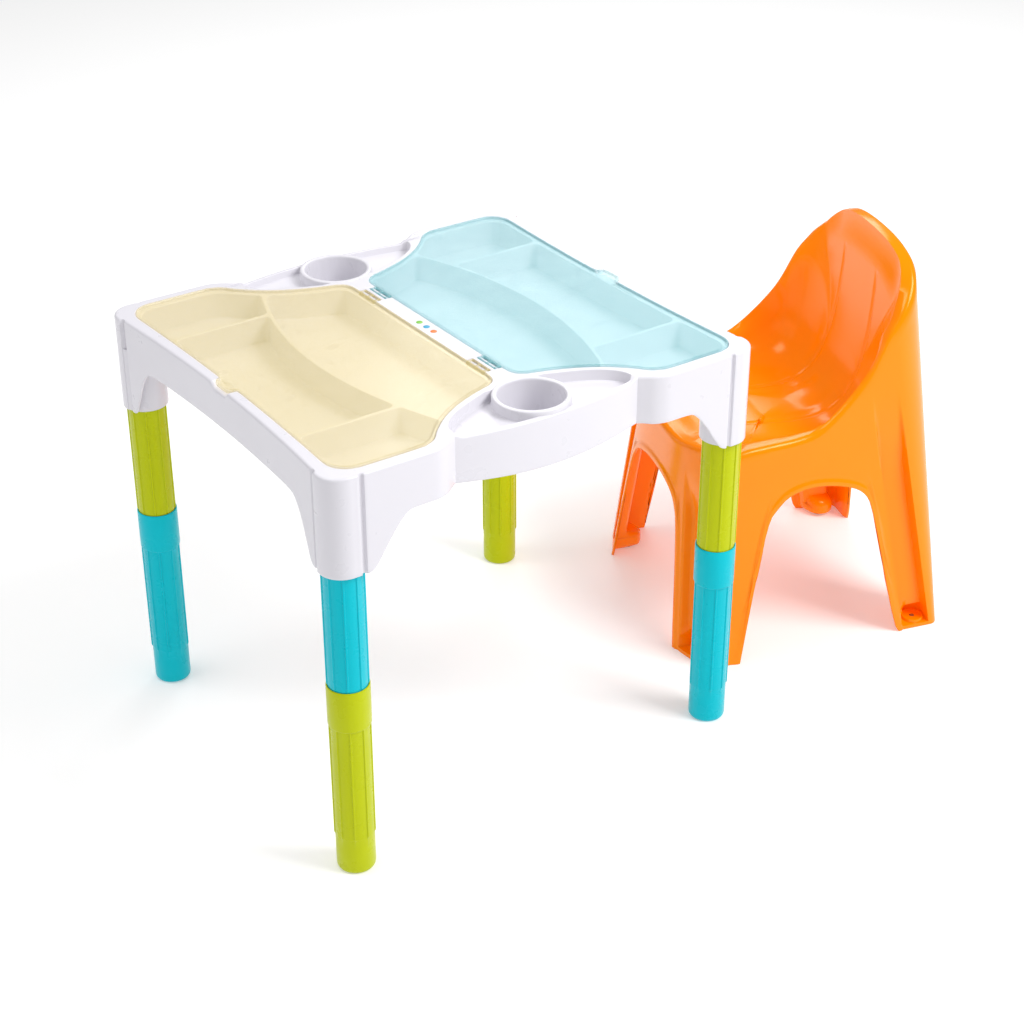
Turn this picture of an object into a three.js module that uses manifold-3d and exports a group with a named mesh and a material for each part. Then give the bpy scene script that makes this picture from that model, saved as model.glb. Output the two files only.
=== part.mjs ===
// Children's activity table with two hinged lids and storage pockets, on eight push-together leg
// sections, and a one-piece moulded chair. Millimetres, +Z up, standing on z = 0.
// +X runs from the yellow lid to the turquoise lid, +Y from the near cup holder to the far one.
import * as THREE from "three";
import Module from "manifold-3d";
import { mergeVertices } from "three/addons/utils/BufferGeometryUtils.js";

const wasm = await Module();
wasm.setup();

// ---- driving dimensions ----
const tableCentre = { x: -212.45, y: 0 }; // puts the origin under the middle of the whole set
const rimTop = 470; // table height without the lids
const pillarFoot = 361; // lowest edge of the corner pillars
const wall = 3; // moulded wall thickness of the table
const legAxis = { x: 235, y: 211 };
const pillarRadius = 25;
const socketBore = 22.8;
const sideMid = 248.5; // half width of the top at the middle of the lid sides
const sideBow = 9; // how much further out the lid sides are at the corners
const blockY = 236; // half depth of the top at the corner blocks
const creaseX = 110.5; // where the corner block meets the bulged cup wall
const creaseY = 220.5;
const bulgeY = 233.5; // half depth at the middle of the cup wall
const deckUnder = 434;
const pocketFloor = 437;
const partitionTop = 466.3;
const gap = 0.3; // between pieces that touch
const ledge = 467; // the lids rest here
const cup = { y: 191, outer: 40.5, bore: 34.5, floor: 425, under: 422, top: 470 };
const shelf = { floor: 458, rimTop: 466, rimWidth: 6 };

const lid = { hingeX: 11, under: 467.3, top: 470, bead: 471.8, beadWidth: 3 };
const hinge = { x: 6.5, z: 467.4, barRadius: 1.7, y: 106, length: 34 };
const notch = { halfWidth: 17.5, floor: 464 };

const leg = {
  plug: 20.6, // smooth end that pushes into the collar below
  ribbed: 20.8,
  rib: 1.1,
  ribWidth: 1.6,
  ribs: 9,
  collar: 22.4,
  collarFoot: 181,
  length: 228,
  ribFoot: 44,
  seat: 4, // how far above the collar's foot the next plug stops
  bore: 20.95,
  hollow: 18.6,
};

const chair = {
  place: { x: 489.7, y: -30.7 }, // from the table's centre
  turn: -18.1, // degrees
  wall: 3,
  height: 479,
  halfWidth: 172, // at the front feet
  taper: 0.049, // the sides draw in towards the rear
  sideLean: 0.065,
  front: -184,
  frontLean: 0.1,
  frontBow: 24, // how far the front's ends lie behind its middle
  rear: 158,
  rearLean: 0.099,
  channel: 12, // depth of the channels down the legs
};

const colours = {
  white: 0xf4f2f7,
  yellowLid: 0xf1e3b4,
  turquoiseLid: 0xb5e3e6,
  green: 0xb9cf1d,
  turquoise: 0x06c4d6,
  orange: 0xff8a00,
  rubber: 0x8a4a1a,
  badgeGreen: 0x6cc02c,
  badgeBlue: 0x16a5c8,
  badgeOrange: 0xff6a1a,
};

// three plain dots let into the centre strip
const badgeRadius = 3.6;
const badgeDepth = 0.6;
const badges = [
  { name: "badge_dot_green", y: 16, colour: colours.badgeGreen },
  { name: "badge_dot_blue", y: 2, colour: colours.badgeBlue },
  { name: "badge_dot_orange", y: -12, colour: colours.badgeOrange },
];

// ---- helpers ----
function solid(geometry) {
  const bare = geometry.clone();
  bare.deleteAttribute("normal");
  bare.deleteAttribute("uv");
  const merged = mergeVertices(bare, 1e-4);
  return new wasm.Manifold(
    new wasm.Mesh({
      numProp: 3,
      vertProperties: merged.attributes.position.array,
      triVerts: new Uint32Array(merged.index.array),
    }),
  );
}

function geometryOf(body) {
  const mesh = body.getMesh();
  const geometry = new THREE.BufferGeometry();
  geometry.setAttribute("position", new THREE.BufferAttribute(mesh.vertProperties, 3));
  geometry.setIndex(new THREE.BufferAttribute(mesh.triVerts, 1));
  return geometry;
}

// An outline in X and Y, raised from z = low to z = high.
function prism(points, low, high) {
  const geometry = new THREE.ExtrudeGeometry(new THREE.Shape(points), {
    depth: high - low,
    bevelEnabled: false,
    curveSegments: 12,
  });
  geometry.translate(0, 0, low);
  return solid(geometry);
}

// An outline in (X, Z) run along Y, from y = low to y = high.
function prismAlongY(points, low, high) {
  const geometry = new THREE.ExtrudeGeometry(new THREE.Shape(points), {
    depth: high - low,
    bevelEnabled: false,
  });
  geometry.rotateX(Math.PI / 2);
  geometry.translate(0, high, 0);
  return solid(geometry);
}

// An outline in (Y, Z) run along X, from x = low to x = high.
function prismAlongX(points, low, high) {
  const geometry = new THREE.ExtrudeGeometry(new THREE.Shape(points), {
    depth: high - low,
    bevelEnabled: false,
  });
  geometry.rotateX(Math.PI / 2);
  geometry.rotateZ(Math.PI / 2);
  geometry.translate(low, 0, 0);
  return solid(geometry);
}

function box(x0, y0, z0, x1, y1, z1) {
  const geometry = new THREE.BoxGeometry(x1 - x0, y1 - y0, z1 - z0);
  geometry.translate((x0 + x1) / 2, (y0 + y1) / 2, (z0 + z1) / 2);
  return solid(geometry);
}

function cylinder(x, y, low, high, radius, sides = 30) {
  const geometry = new THREE.CylinderGeometry(radius, radius, high - low, sides);
  geometry.rotateX(Math.PI / 2);
  geometry.translate(x, y, (low + high) / 2);
  return solid(geometry);
}

function join(bodies) {
  return bodies.reduce((all, body) => all.add(body));
}

// A closed skin through rings that all have the same number of points.
function loft(rings) {
  const count = rings[0].length;
  const positions = rings.flat().flatMap((p) => [p.x, p.y, p.z]);
  const faces = [];
  for (let r = 0; r < rings.length - 1; r += 1) {
    for (let i = 0; i < count; i += 1) {
      const a = r * count + i;
      const b = r * count + ((i + 1) % count);
      faces.push(a, b, b + count);
      faces.push(a, b + count, a + count);
    }
  }
  [0, rings.length - 1].forEach((r) => {
    const middle = new THREE.Vector3();
    rings[r].forEach((p) => middle.add(p));
    middle.divideScalar(count);
    const m = positions.length / 3;
    positions.push(middle.x, middle.y, middle.z);
    for (let i = 0; i < count; i += 1) {
      const a = r * count + i;
      const b = r * count + ((i + 1) % count);
      if (r === 0) faces.push(b, a, m);
      else faces.push(a, b, m);
    }
  });
  const geometry = new THREE.BufferGeometry();
  geometry.setAttribute("position", new THREE.Float32BufferAttribute(positions, 3));
  geometry.setIndex(faces);
  return solid(geometry);
}

// Points of one quadrant (from +X round to +Y), mirrored into a whole closed outline.
function fourWay(quadrant) {
  const point = (p, sx, sy) => new THREE.Vector2(sx * p[0], sy * p[1]);
  const back = [...quadrant].reverse();
  return [
    ...quadrant.map((p) => point(p, 1, 1)),
    ...back.map((p) => point(p, -1, 1)),
    ...quadrant.map((p) => point(p, -1, -1)),
    ...back.map((p) => point(p, 1, -1)),
  ].filter((p, i, all) => p.distanceTo(all[(i + 1) % all.length]) > 0.01);
}

function smoothLine(points, steps) {
  const curve = new THREE.CatmullRomCurve3(
    points.map((p) => new THREE.Vector3(p[0], p[1], 0)),
    false,
    "centripetal",
  );
  return curve.getPoints(steps).map((p) => [p.x, p.y]);
}

// ---- table top ----
function bulgeLine(inset, from, steps) {
  const sag = bulgeY - creaseY;
  const radius = (creaseX ** 2 + sag ** 2) / (2 * sag);
  const centre = bulgeY - radius;
  const line = [];
  for (let i = 0; i <= steps; i += 1) {
    const x = from * (1 - i / steps);
    line.push([x, centre + Math.sqrt((radius - inset) ** 2 - x ** 2)]);
  }
  return line;
}

function topOutline(inset) {
  const side = [0, 70, 135, 190].map((y) => [sideMid + sideBow * (y / 200) ** 2 - inset, y]);
  const corner = [];
  const grooves = inset === 0;
  if (grooves) {
    corner.push([sideMid + sideBow, 200]);
    corner.push([sideMid + sideBow - 4, 203]);
    corner.push([sideMid + sideBow - 4, 205]);
    for (let i = 0; i <= 5; i += 1) {
      const a = THREE.MathUtils.degToRad(i * 18);
      corner.push([
        legAxis.x + pillarRadius * Math.cos(a),
        legAxis.y + pillarRadius * Math.sin(a),
      ]);
    }
    corner.push([legAxis.x - 10, blockY - 4]);
    corner.push([legAxis.x - 12, blockY - 4]);
    corner.push([legAxis.x - 15, blockY]);
  } else {
    corner.push([sideMid + sideBow - inset, 212]);
    corner.push([legAxis.x + 8, blockY - inset]);
  }
  const turn = smoothLine(
    [
      [150, blockY - inset],
      [137, blockY - 0.7 - inset],
      [123 - inset * 0.5, blockY - 6 - inset],
      [creaseX - inset * 0.5, creaseY - inset],
    ],
    4,
  );
  const bulge = bulgeLine(inset, creaseX - inset * 0.5, 4).slice(1);
  return fourWay([...side, ...corner, ...turn, ...bulge]);
}

function lidLine(inset) {
  const concave = smoothLine(
    [
      [24, 149.5 - inset],
      [48, 157 - inset],
      [75 + inset * 0.3, 168.5 - inset],
      [99 + inset * 0.5, 183.5 - inset],
      [118 + inset * 0.7, 200.5 - inset * 0.8],
      [131 + inset * 0.6, 215 - inset],
      [145 + inset * 0.4, 221.8 - inset],
    ],
    9,
  );
  const corner = [];
  const radius = 24 - inset;
  for (let i = 0; i <= 4; i += 1) {
    const a = THREE.MathUtils.degToRad(90 - i * 22.5);
    corner.push([217 + radius * Math.cos(a), 197.8 + radius * Math.sin(a)]);
  }
  const side = [150, 100, 50].map((y) => [236 + 5 * (y / 190) ** 2 - inset, y]);
  const half = [
    [lid.hingeX + inset, 0],
    [lid.hingeX + inset, 134],
    [14 + inset * 0.8, 143.5 - inset],
    ...concave,
    ...corner,
    ...side,
    [236 - inset, 0],
  ];
  return half;
}

// The lid's whole outline on side +1 (turquoise) or -1 (yellow).
function lidOutline(side, inset) {
  const half = lidLine(inset);
  const lower = [...half].reverse().map((p) => [p[0], -p[1]]);
  const loop = [...half, ...lower].map((p) => new THREE.Vector2(side * p[0], p[1]));
  return loop.filter((p, i, all) => p.distanceTo(all[(i + 1) % all.length]) > 0.01);
}

function apronCutters() {
  const along = []; // seen from the cup sides: (x, z)
  const profile = [
    [219, pillarFoot - 20],
    [219, pillarFoot],
    [212.3, 364.8],
    [204.7, 375],
    [194, 391.5],
    [183, 406],
    [174, 414],
    [163, 416],
    [126, 416],
    [118, 417.5],
    [creaseX, 416.5],
    [80, 414.5],
    [40, 411.5],
    [0, 410.5],
  ];
  profile.forEach((p) => along.push(new THREE.Vector2(p[0], p[1])));
  [...profile].reverse().slice(1).forEach((p) => along.push(new THREE.Vector2(-p[0], p[1])));
  const sideProfile = [
    [193, pillarFoot - 20],
    [193, pillarFoot],
    [188, 366],
    [181, 382],
    [171, 404],
    [160, 418],
    [146, 423],
    [0, 424],
  ];
  const across = sideProfile.map((p) => new THREE.Vector2(p[0], p[1]));
  [...sideProfile].reverse().slice(1).forEach((p) => across.push(new THREE.Vector2(-p[0], p[1])));
  return [prismAlongY(along, -300, 300), prismAlongX(across, -300, 300)];
}

function pocketWalls() {
  const walls = [];
  [1, -1].forEach((side) => {
    // the long curved wall between the hinge-side pocket and the outer ones
    const outer = [];
    const inner = [];
    for (let y = -200; y <= 200; y += 40) {
      const x = 138 - (y * y) / 860;
      outer.push(new THREE.Vector2(side * (x + 2), y));
      inner.push(new THREE.Vector2(side * (x - 3), y));
    }
    walls.push(prism([...outer, ...inner.reverse()], pocketFloor - 1, partitionTop));
    [1, -1].forEach((end) => {
      const x = [side * 122, side * 250].sort((a, b) => a - b);
      const y = [end * 129.5, end * 134.5].sort((a, b) => a - b);
      walls.push(box(x[0], y[0], pocketFloor - 1, x[1], y[1], partitionTop));
    });
  });
  return join(walls);
}

function tableTop() {
  const outer = prism(topOutline(0), pillarFoot, deckUnder + 1);
  const inner = prism(topOutline(wall), pillarFoot - 1, deckUnder + 2);
  const [cutY, cutX] = apronCutters();
  const skirt = outer.subtract(inner).subtract(cutY).subtract(cutX);

  let deck = prism(topOutline(0), deckUnder, rimTop);
  const walls = pocketWalls();
  [1, -1].forEach((side) => {
    deck = deck.subtract(prism(lidOutline(side, -1), ledge, rimTop + 5));
    deck = deck.subtract(prism(lidOutline(side, 5), pocketFloor, rimTop).subtract(walls));
    const reach = [side * 225, side * 262].sort((a, b) => a - b);
    deck = deck.subtract(
      box(reach[0], -notch.halfWidth, notch.floor, reach[1], notch.halfWidth, rimTop + 5),
    );
    // recesses of the centre strip round the hinge bars
    [1, -1].forEach((end) => {
      const middle = end * hinge.y;
      const x = [side * 1.2, side * 12.6].sort((a, b) => a - b);
      deck = deck.subtract(
        box(x[0], middle - hinge.length / 2, 462, x[1], middle + hinge.length / 2, rimTop + 5),
      );
    });
  });

  // the low shelf round each cup, inside a rim that is a little lower than the top
  const sideLine = smoothLine(
    [
      [34, 160],
      [55, 168],
      [78, 178],
      [96, 190],
      [106, 203],
      [108, 213],
    ],
    6,
  );
  [1, -1].forEach((end) => {
    const both = (half) => [...half, ...[...half].reverse().map((p) => [-p[0], p[1]])];
    const place = (points) =>
      points
        .map((p) => new THREE.Vector2(p[0], end * p[1]))
        .filter((p, i, all) => p.distanceTo(all[(i + 1) % all.length]) > 0.01);
    const floorLine = both([...sideLine, ...bulgeLine(shelf.rimWidth, 106, 4)]);
    const behindRim = bulgeLine(shelf.rimWidth + 4, creaseX - 6, 4);
    const rimLine = [
      ...both(bulgeLine(-2, creaseX - 1, 4)),
      ...behindRim.map((p) => [-p[0], p[1]]),
      ...[...behindRim].reverse(),
    ];
    deck = deck.subtract(prism(place(floorLine), shelf.floor, rimTop + 5));
    deck = deck.subtract(prism(place(rimLine), shelf.rimTop, rimTop + 5));
  });

  // cup wells
  [1, -1].forEach((end) => {
    deck = deck.add(cylinder(0, end * cup.y, shelf.floor - 5, cup.top, cup.outer, 36));
    deck = deck.add(cylinder(0, end * cup.y, cup.under, shelf.floor, cup.bore + wall, 36));
    deck = deck.subtract(cylinder(0, end * cup.y, cup.floor, cup.top + 5, cup.bore, 36));
  });

  // sockets for the legs
  const sockets = [];
  [1, -1].forEach((sx) => {
    [1, -1].forEach((sy) => {
      const x = sx * legAxis.x;
      const y = sy * legAxis.y;
      sockets.push(
        cylinder(x, y, pillarFoot, deckUnder + 1, pillarRadius).subtract(
          cylinder(x, y, pillarFoot - 1, deckUnder, socketBore),
        ),
      );
    });
  });
  let body = join([skirt, deck, ...sockets]);
  // clear the skirt's inner scraps out of the socket bores
  [1, -1].forEach((sx) => {
    [1, -1].forEach((sy) => {
      const x = sx * legAxis.x;
      const y = sy * legAxis.y;
      body = body.subtract(cylinder(x, y, pillarFoot - 1, deckUnder, socketBore));
    });
  });

  badges.forEach((badge) => {
    const seatRadius = badgeRadius + gap;
    body = body.subtract(cylinder(0, badge.y, rimTop - badgeDepth, rimTop + 1, seatRadius, 20));
  });

  // hinge bars moulded across the recesses
  [1, -1].forEach((side) => {
    [1, -1].forEach((end) => {
      const { barRadius, length } = hinge;
      const bar = new THREE.CylinderGeometry(barRadius, barRadius, length + 2, 16);
      bar.translate(side * hinge.x, end * hinge.y, hinge.z);
      body = body.add(solid(bar));
    });
  });
  return body;
}

// ---- lids ----
function lidBody(side) {
  const sheet = prism(lidOutline(side, 0), lid.under, lid.top);
  const bead = prism(lidOutline(side, 0), lid.top - 0.5, lid.bead).subtract(
    prism(lidOutline(side, lid.beadWidth), lid.top - 1, lid.bead + 1),
  );
  let body = sheet.add(bead);
  const tab = [];
  const tipX = 246;
  [
    [230, -17],
    [237, -16.5],
    [243, -13],
    [tipX, -8],
    [tipX, 8],
    [243, 13],
    [237, 16.5],
    [230, 17],
  ].forEach((p) => tab.push(new THREE.Vector2(side * p[0], p[1])));
  body = body.add(prism(tab, lid.under, lid.bead));
  // two loops that turn on the white bars
  [1, -1].forEach((end) => {
    const middle = end * hinge.y;
    const half = hinge.length / 2 - 1.2;
    const x = [side * 2.2, side * 11.4].sort((a, b) => a - b);
    const outer = box(x[0], middle - half, lid.under - 2.6, x[1], middle + half, lid.top);
    const gapX = [side * 4.4, side * 8.6].sort((a, b) => a - b);
    const window = box(gapX[0], middle - half + 3, 400, gapX[1], middle + half - 3, 500);
    const bore = new THREE.CylinderGeometry(
      hinge.barRadius + 0.35,
      hinge.barRadius + 0.35,
      hinge.length + 4,
      16,
    );
    bore.translate(side * hinge.x, middle, hinge.z);
    body = body.subtract(
      box(
        Math.min(side * 1, side * 8.6),
        middle - half - 2,
        lid.under - 5,
        Math.max(side * 1, side * 8.6),
        middle + half + 2,
        lid.bead + 5,
      ),
    );
    body = body.add(outer.subtract(window));
    body = body.subtract(solid(bore));
  });
  return body;
}

// ---- legs ----
function ribbedOutline() {
  const points = [];
  for (let i = 0; i < leg.ribs; i += 1) {
    const middle = (i * 2 * Math.PI) / leg.ribs;
    const half = leg.ribWidth / 2 / leg.ribbed;
    [
      [-half, leg.ribbed],
      [-half, leg.ribbed + leg.rib],
      [half, leg.ribbed + leg.rib],
      [half, leg.ribbed],
    ].forEach(([a, r]) => {
      points.push(new THREE.Vector2(r * Math.cos(middle + a), r * Math.sin(middle + a)));
    });
    const between = (2 * Math.PI) / leg.ribs - 2 * half;
    [1, 2].forEach((k) => {
      const a = middle + half + (between * k) / 3;
      points.push(new THREE.Vector2(leg.ribbed * Math.cos(a), leg.ribbed * Math.sin(a)));
    });
  }
  return points;
}

function legSection() {
  const body = join([
    cylinder(0, 0, 0, leg.length, leg.plug),
    prism(ribbedOutline(), leg.ribFoot, leg.collarFoot + 1),
    cylinder(0, 0, leg.collarFoot, leg.length, leg.collar),
  ]);
  return body
    .subtract(cylinder(0, 0, leg.collarFoot + leg.seat, leg.length + 1, leg.bore))
    .subtract(cylinder(0, 0, wall, leg.length, leg.hollow, 24));
}

// ---- chair ----
function chairRing(z, inset, channel = chair.channel) {
  const f = chair.front + chair.frontLean * z + inset;
  const r = chair.rear - chair.rearLean * z - inset;
  const width = (x) =>
    chair.halfWidth - chair.taper * (x - chair.front) - chair.sideLean * z - inset;
  const frontRound = 18 - inset;
  const rearRound = 12 + 0.1 * z - inset;
  const frontDepth = channel * THREE.MathUtils.clamp((225 - z) / 50, 0, 1);
  const rearDepth = channel * THREE.MathUtils.clamp((385 - z) / 160, 0, 1);
  const inner = 122 - 0.19 * Math.min(z, 225); // the front channel's edge along the arch
  const w = width(f + chair.frontBow);
  const front = (y) => f + chair.frontBow * (y / (w - frontRound)) ** 3;
  const half = []; // from the middle of the front, round the +Y side, to the middle of the rear
  [0, 0.25, 0.42].forEach((share) => half.push([front(w * share), w * share]));
  half.push([front(inner), inner - inset]);
  half.push([front(inner + 2) + frontDepth, inner + 2 - inset]);
  half.push([front(w - 24) + frontDepth, w - 24 + inset]);
  half.push([front(w - 22), w - 22 + inset]);
  const cornerX = f + chair.frontBow;
  for (let i = 0; i <= 3; i += 1) {
    const a = THREE.MathUtils.degToRad(15 + i * 25);
    half.push([
      cornerX + frontRound - frontRound * Math.cos(a),
      w - frontRound + frontRound * Math.sin(a),
    ]);
  }
  const end = r - rearRound;
  half.push([end - 36 - inset, width(end - 36)]);
  half.push([end - 34 - inset, width(end - 34) - rearDepth]);
  half.push([end - 4 + inset, width(end - 4) - rearDepth]);
  half.push([end - 2 + inset, width(end - 2)]);
  for (let i = 0; i <= 3; i += 1) {
    const a = THREE.MathUtils.degToRad(90 - i * 30);
    half.push([end + rearRound * Math.cos(a), width(end) - rearRound + rearRound * Math.sin(a)]);
  }
  half.push([r, 0]);
  const ring = half.map((p) => new THREE.Vector3(p[0], p[1], z));
  const other = half
    .slice(1, -1)
    .reverse()
    .map((p) => new THREE.Vector3(p[0], -p[1], z));
  return [...ring, ...other].reverse();
}

function chairHull(inset, low, high, channel = chair.channel) {
  const levels = [low, 175, 225, 310, 385, high];
  return loft(levels.map((z) => chairRing(z, inset, channel)));
}

// The hollow for the sitter: seat and back as distances from a line across the chair.
function scoop(extra) {
  const pivot = { x: -20, z: 420 };
  const profile = [
    { x: -330, z: 236, n: 5 },
    { x: -205, z: 246, n: 6 },
    { x: -150, z: 254, n: 6 },
    { x: -115, z: 258, n: 6 },
    { x: -60, z: 257, n: 6 },
    { x: -10, z: 253, n: 5.5 },
    { x: 25, z: 256, n: 5 },
    { x: 50, z: 270, n: 4.6 },
    { x: 68, z: 298, n: 4.2 },
    { x: 79, z: 340, n: 3.7 },
    { x: 84, z: 385, n: 3.2 },
    { x: 86, z: 430, n: 2.8 },
    { x: 84, z: 475, n: 2.6 },
    { x: 78, z: 530, n: 2.6 },
  ];
  const halfWidth = 137 + extra;
  const core = 8; // how far the bowl's axis is kept open
  const steps = 14;
  const rings = profile.map((p) => {
    const dx = p.x - pivot.x;
    const dz = p.z - pivot.z;
    const length = Math.hypot(dx, dz);
    const reach = length + extra;
    const at = (rho, y) =>
      new THREE.Vector3(pivot.x + (dx / length) * rho, y, pivot.z + (dz / length) * rho);
    const ring = [];
    for (let i = 0; i <= steps; i += 1) {
      const u = -Math.cos((Math.PI * i) / steps);
      const share = (1 - Math.abs(u) ** p.n) ** (1 / p.n);
      ring.push(at(core + (reach - core) * share, u * halfWidth));
    }
    ring.push(at(core / 2, halfWidth));
    ring.push(at(core / 2, -halfWidth));
    return ring;
  });
  return loft(rings);
}

function chairTopCut(inset) {
  const far = 260; // clear of the hull on every side
  const below = -20;
  const sideLine = smoothLine(
    [
      [-210, 236],
      [-168, 244],
      [-147, 264],
      [-116, 276],
      [-80, 279],
      [-47, 281],
      [-22, 286],
      [-3, 299],
      [13, 314],
      [27, 329],
      [39, 344],
      [48, 359],
      [55, 374],
      [62, 389],
      [71, 405],
      [83, 426],
      [94, 450],
      [102, 474],
      [108, chair.height],
      [130, chair.height],
    ],
    20,
  ).map((p) => [p[0], p[1] - inset]);
  const profile = [
    [-far, below],
    [-far, 236 - inset],
    ...sideLine,
    [far, chair.height - inset],
    [far, below],
  ];
  const arch = smoothLine(
    [
      [190, 330],
      [152, 355],
      [142, 376],
      [136, 392],
      [132.8, 407],
      [128, 420],
      [120, 431.5],
      [110, 440.5],
      [97, 450],
      [80, 461],
      [60, 470.8],
      [40, 476],
      [20, 478.5],
      [0, chair.height],
    ],
    16,
  ).map((p) => [p[0] - inset, p[1] - inset]);
  const half = [[far, below], [far, 330 - inset], ...arch];
  const other = [...half].reverse().map((p) => [-p[0], p[1]]);
  const front = [...half.filter((p) => p[0] > 0.01), ...other.filter((p) => p[0] < -0.01)];
  const toVector = (p) => new THREE.Vector2(p[0], p[1]);
  return prismAlongY(profile.map(toVector), -far, far).intersect(
    prismAlongX(front.map(toVector), -far, far),
  );
}

function chairArches() {
  const side = smoothLine(
    [
      [-115, -20],
      [-111, 0],
      [-97, 90],
      [-81, 176],
      [-69, 198],
      [-53, 212],
      [-28, 218],
      [0, 216],
      [30, 207],
      [47, 193],
      [55, 175],
      [66, 134],
      [88, 43],
      [100.5, 0],
      [105, -20],
    ],
    20,
  );
  const front = smoothLine(
    [
      [-115, -20],
      [-111, 0],
      [-93, 93],
      [-81, 150],
      [-68, 178],
      [-42, 192],
      [0, 196],
      [42, 192],
      [68, 178],
      [81, 150],
      [93, 93],
      [111, 0],
      [115, -20],
    ],
    20,
  );
  const toVector = (p) => new THREE.Vector2(p[0], p[1]);
  return [
    prismAlongY(side.map(toVector), -300, 300),
    prismAlongX(front.map(toVector), -300, 300),
  ];
}

const foot = {
  well: 15, // radius of the round well above each foot plate
  top: 21, // roof of the well
  plate: 7, // upper face of the foot plate
  recess: 3.6, // depth of the pad's seat in its underside
  hole: 3.2,
  pad: 9,
  mouth: 11, // half width of the opening from the channel
};
const footPads = [
  { name: "chair_foot_pad_front_near", x: -148, y: -134, front: true },
  { name: "chair_foot_pad_front_far", x: -148, y: 134, front: true },
  { name: "chair_foot_pad_rear_near", x: 128, y: -141, front: false },
  { name: "chair_foot_pad_rear_far", x: 128, y: 141, front: false },
];

function chairShell() {
  const full = chairHull(0, 0, 500).intersect(chairTopCut(0)).subtract(scoop(0));
  const hollow = chairHull(chair.wall, -10, 500)
    .intersect(chairTopCut(chair.wall))
    .subtract(scoop(chair.wall));
  let shell = full.subtract(hollow);
  chairArches().forEach((cut) => {
    shell = shell.subtract(cut);
  });
  const plain = chairHull(0, 0, 500, 0);
  footPads.forEach((pad) => {
    const { x, y } = pad;
    const outward = Math.sign(y) * 60;
    const cup = cylinder(x, y, 0, foot.top + chair.wall, foot.well + chair.wall, 20);
    const mouth = pad.front
      ? box(x - 60, y - foot.mouth, foot.plate, x, y + foot.mouth, foot.top)
      : box(
          x - foot.mouth,
          Math.min(y, y + outward),
          foot.plate,
          x + foot.mouth,
          Math.max(y, y + outward),
          foot.top,
        );
    shell = shell
      .add(cup.intersect(plain))
      .subtract(cylinder(x, y, foot.plate, foot.top, foot.well, 20))
      .subtract(mouth)
      .subtract(cylinder(x, y, -1, foot.recess, foot.pad + gap, 16))
      .subtract(cylinder(x, y, -1, foot.plate + 1, foot.hole, 12));
  });
  return shell;
}

function footPad() {
  return cylinder(0, 0, 0, foot.recess - gap, foot.pad, 16).add(
    cylinder(0, 0, 1, foot.plate + 1, foot.hole - gap, 12),
  );
}

// ---- assembly ----
const set = new THREE.Group();
const table = new THREE.Group();
table.position.set(tableCentre.x, tableCentre.y, 0);
set.add(table);

function add(group, name, body, colour, roughness, x = 0, y = 0, z = 0) {
  const material = new THREE.MeshStandardMaterial({ color: colour, roughness, metalness: 0 });
  const mesh = new THREE.Mesh(geometryOf(body), material);
  mesh.name = name;
  mesh.position.set(x, y, z);
  group.add(mesh);
  return mesh;
}

add(table, "table_top", tableTop(), colours.white, 0.35);
badges.forEach((badge) => {
  const dot = cylinder(0, 0, 0, badgeDepth, badgeRadius, 20);
  add(table, badge.name, dot, badge.colour, 0.4, 0, badge.y, rimTop - badgeDepth + gap);
});
add(table, "lid_yellow", lidBody(-1), colours.yellowLid, 0.3);
add(table, "lid_turquoise", lidBody(1), colours.turquoiseLid, 0.3);

const section = legSection();
[
  { name: "front_left", sx: -1, sy: -1, upper: colours.turquoise, lower: colours.green },
  { name: "front_right", sx: 1, sy: -1, upper: colours.green, lower: colours.turquoise },
  { name: "rear_left", sx: -1, sy: 1, upper: colours.green, lower: colours.turquoise },
  { name: "rear_right", sx: 1, sy: 1, upper: colours.turquoise, lower: colours.green },
].forEach((corner) => {
  const x = corner.sx * legAxis.x;
  const y = corner.sy * legAxis.y;
  add(table, "leg_" + corner.name + "_lower", section, corner.lower, 0.4, x, y, 0);
  const seatHeight = leg.collarFoot + leg.seat + gap;
  add(table, "leg_" + corner.name + "_upper", section, corner.upper, 0.4, x, y, seatHeight);
});

const seat = new THREE.Group();
seat.position.set(chair.place.x, chair.place.y, 0);
seat.rotation.z = THREE.MathUtils.degToRad(chair.turn);
table.add(seat);
add(seat, "chair_shell", chairShell(), colours.orange, 0.25);
footPads.forEach((pad) => {
  add(seat, pad.name, footPad(), colours.rubber, 0.8, pad.x, pad.y);
});

export default set;
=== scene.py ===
# Child's activity table with two storage lids and a moulded chair
import bpy
import math
from mathutils import Matrix, Vector
from mathutils.geometry import tessellate_polygon


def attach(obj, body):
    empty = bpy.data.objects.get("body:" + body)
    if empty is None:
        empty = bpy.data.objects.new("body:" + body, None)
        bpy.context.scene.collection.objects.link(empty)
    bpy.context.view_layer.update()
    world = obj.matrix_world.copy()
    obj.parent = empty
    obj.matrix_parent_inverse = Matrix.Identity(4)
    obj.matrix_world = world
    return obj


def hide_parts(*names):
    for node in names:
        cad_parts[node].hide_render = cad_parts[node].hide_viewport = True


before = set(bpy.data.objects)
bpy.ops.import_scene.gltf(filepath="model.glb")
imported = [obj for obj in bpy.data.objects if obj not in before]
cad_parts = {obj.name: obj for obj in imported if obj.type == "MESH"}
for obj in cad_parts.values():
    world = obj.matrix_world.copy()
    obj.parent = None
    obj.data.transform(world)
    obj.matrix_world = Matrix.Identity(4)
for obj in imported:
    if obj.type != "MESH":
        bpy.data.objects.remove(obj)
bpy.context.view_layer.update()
mm = 0.001
tableCentre = (-212.45, 0.0)  # of the table top, in millimetres from the middle of the set
print("frame loaded")


# Loops and shells are in millimetres until makePiece scales them.
def clearSelection():
    if bpy.context.object and bpy.context.object.mode != "OBJECT":
        bpy.ops.object.mode_set(mode="OBJECT")
    bpy.ops.object.select_all(action="DESELECT")


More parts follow.
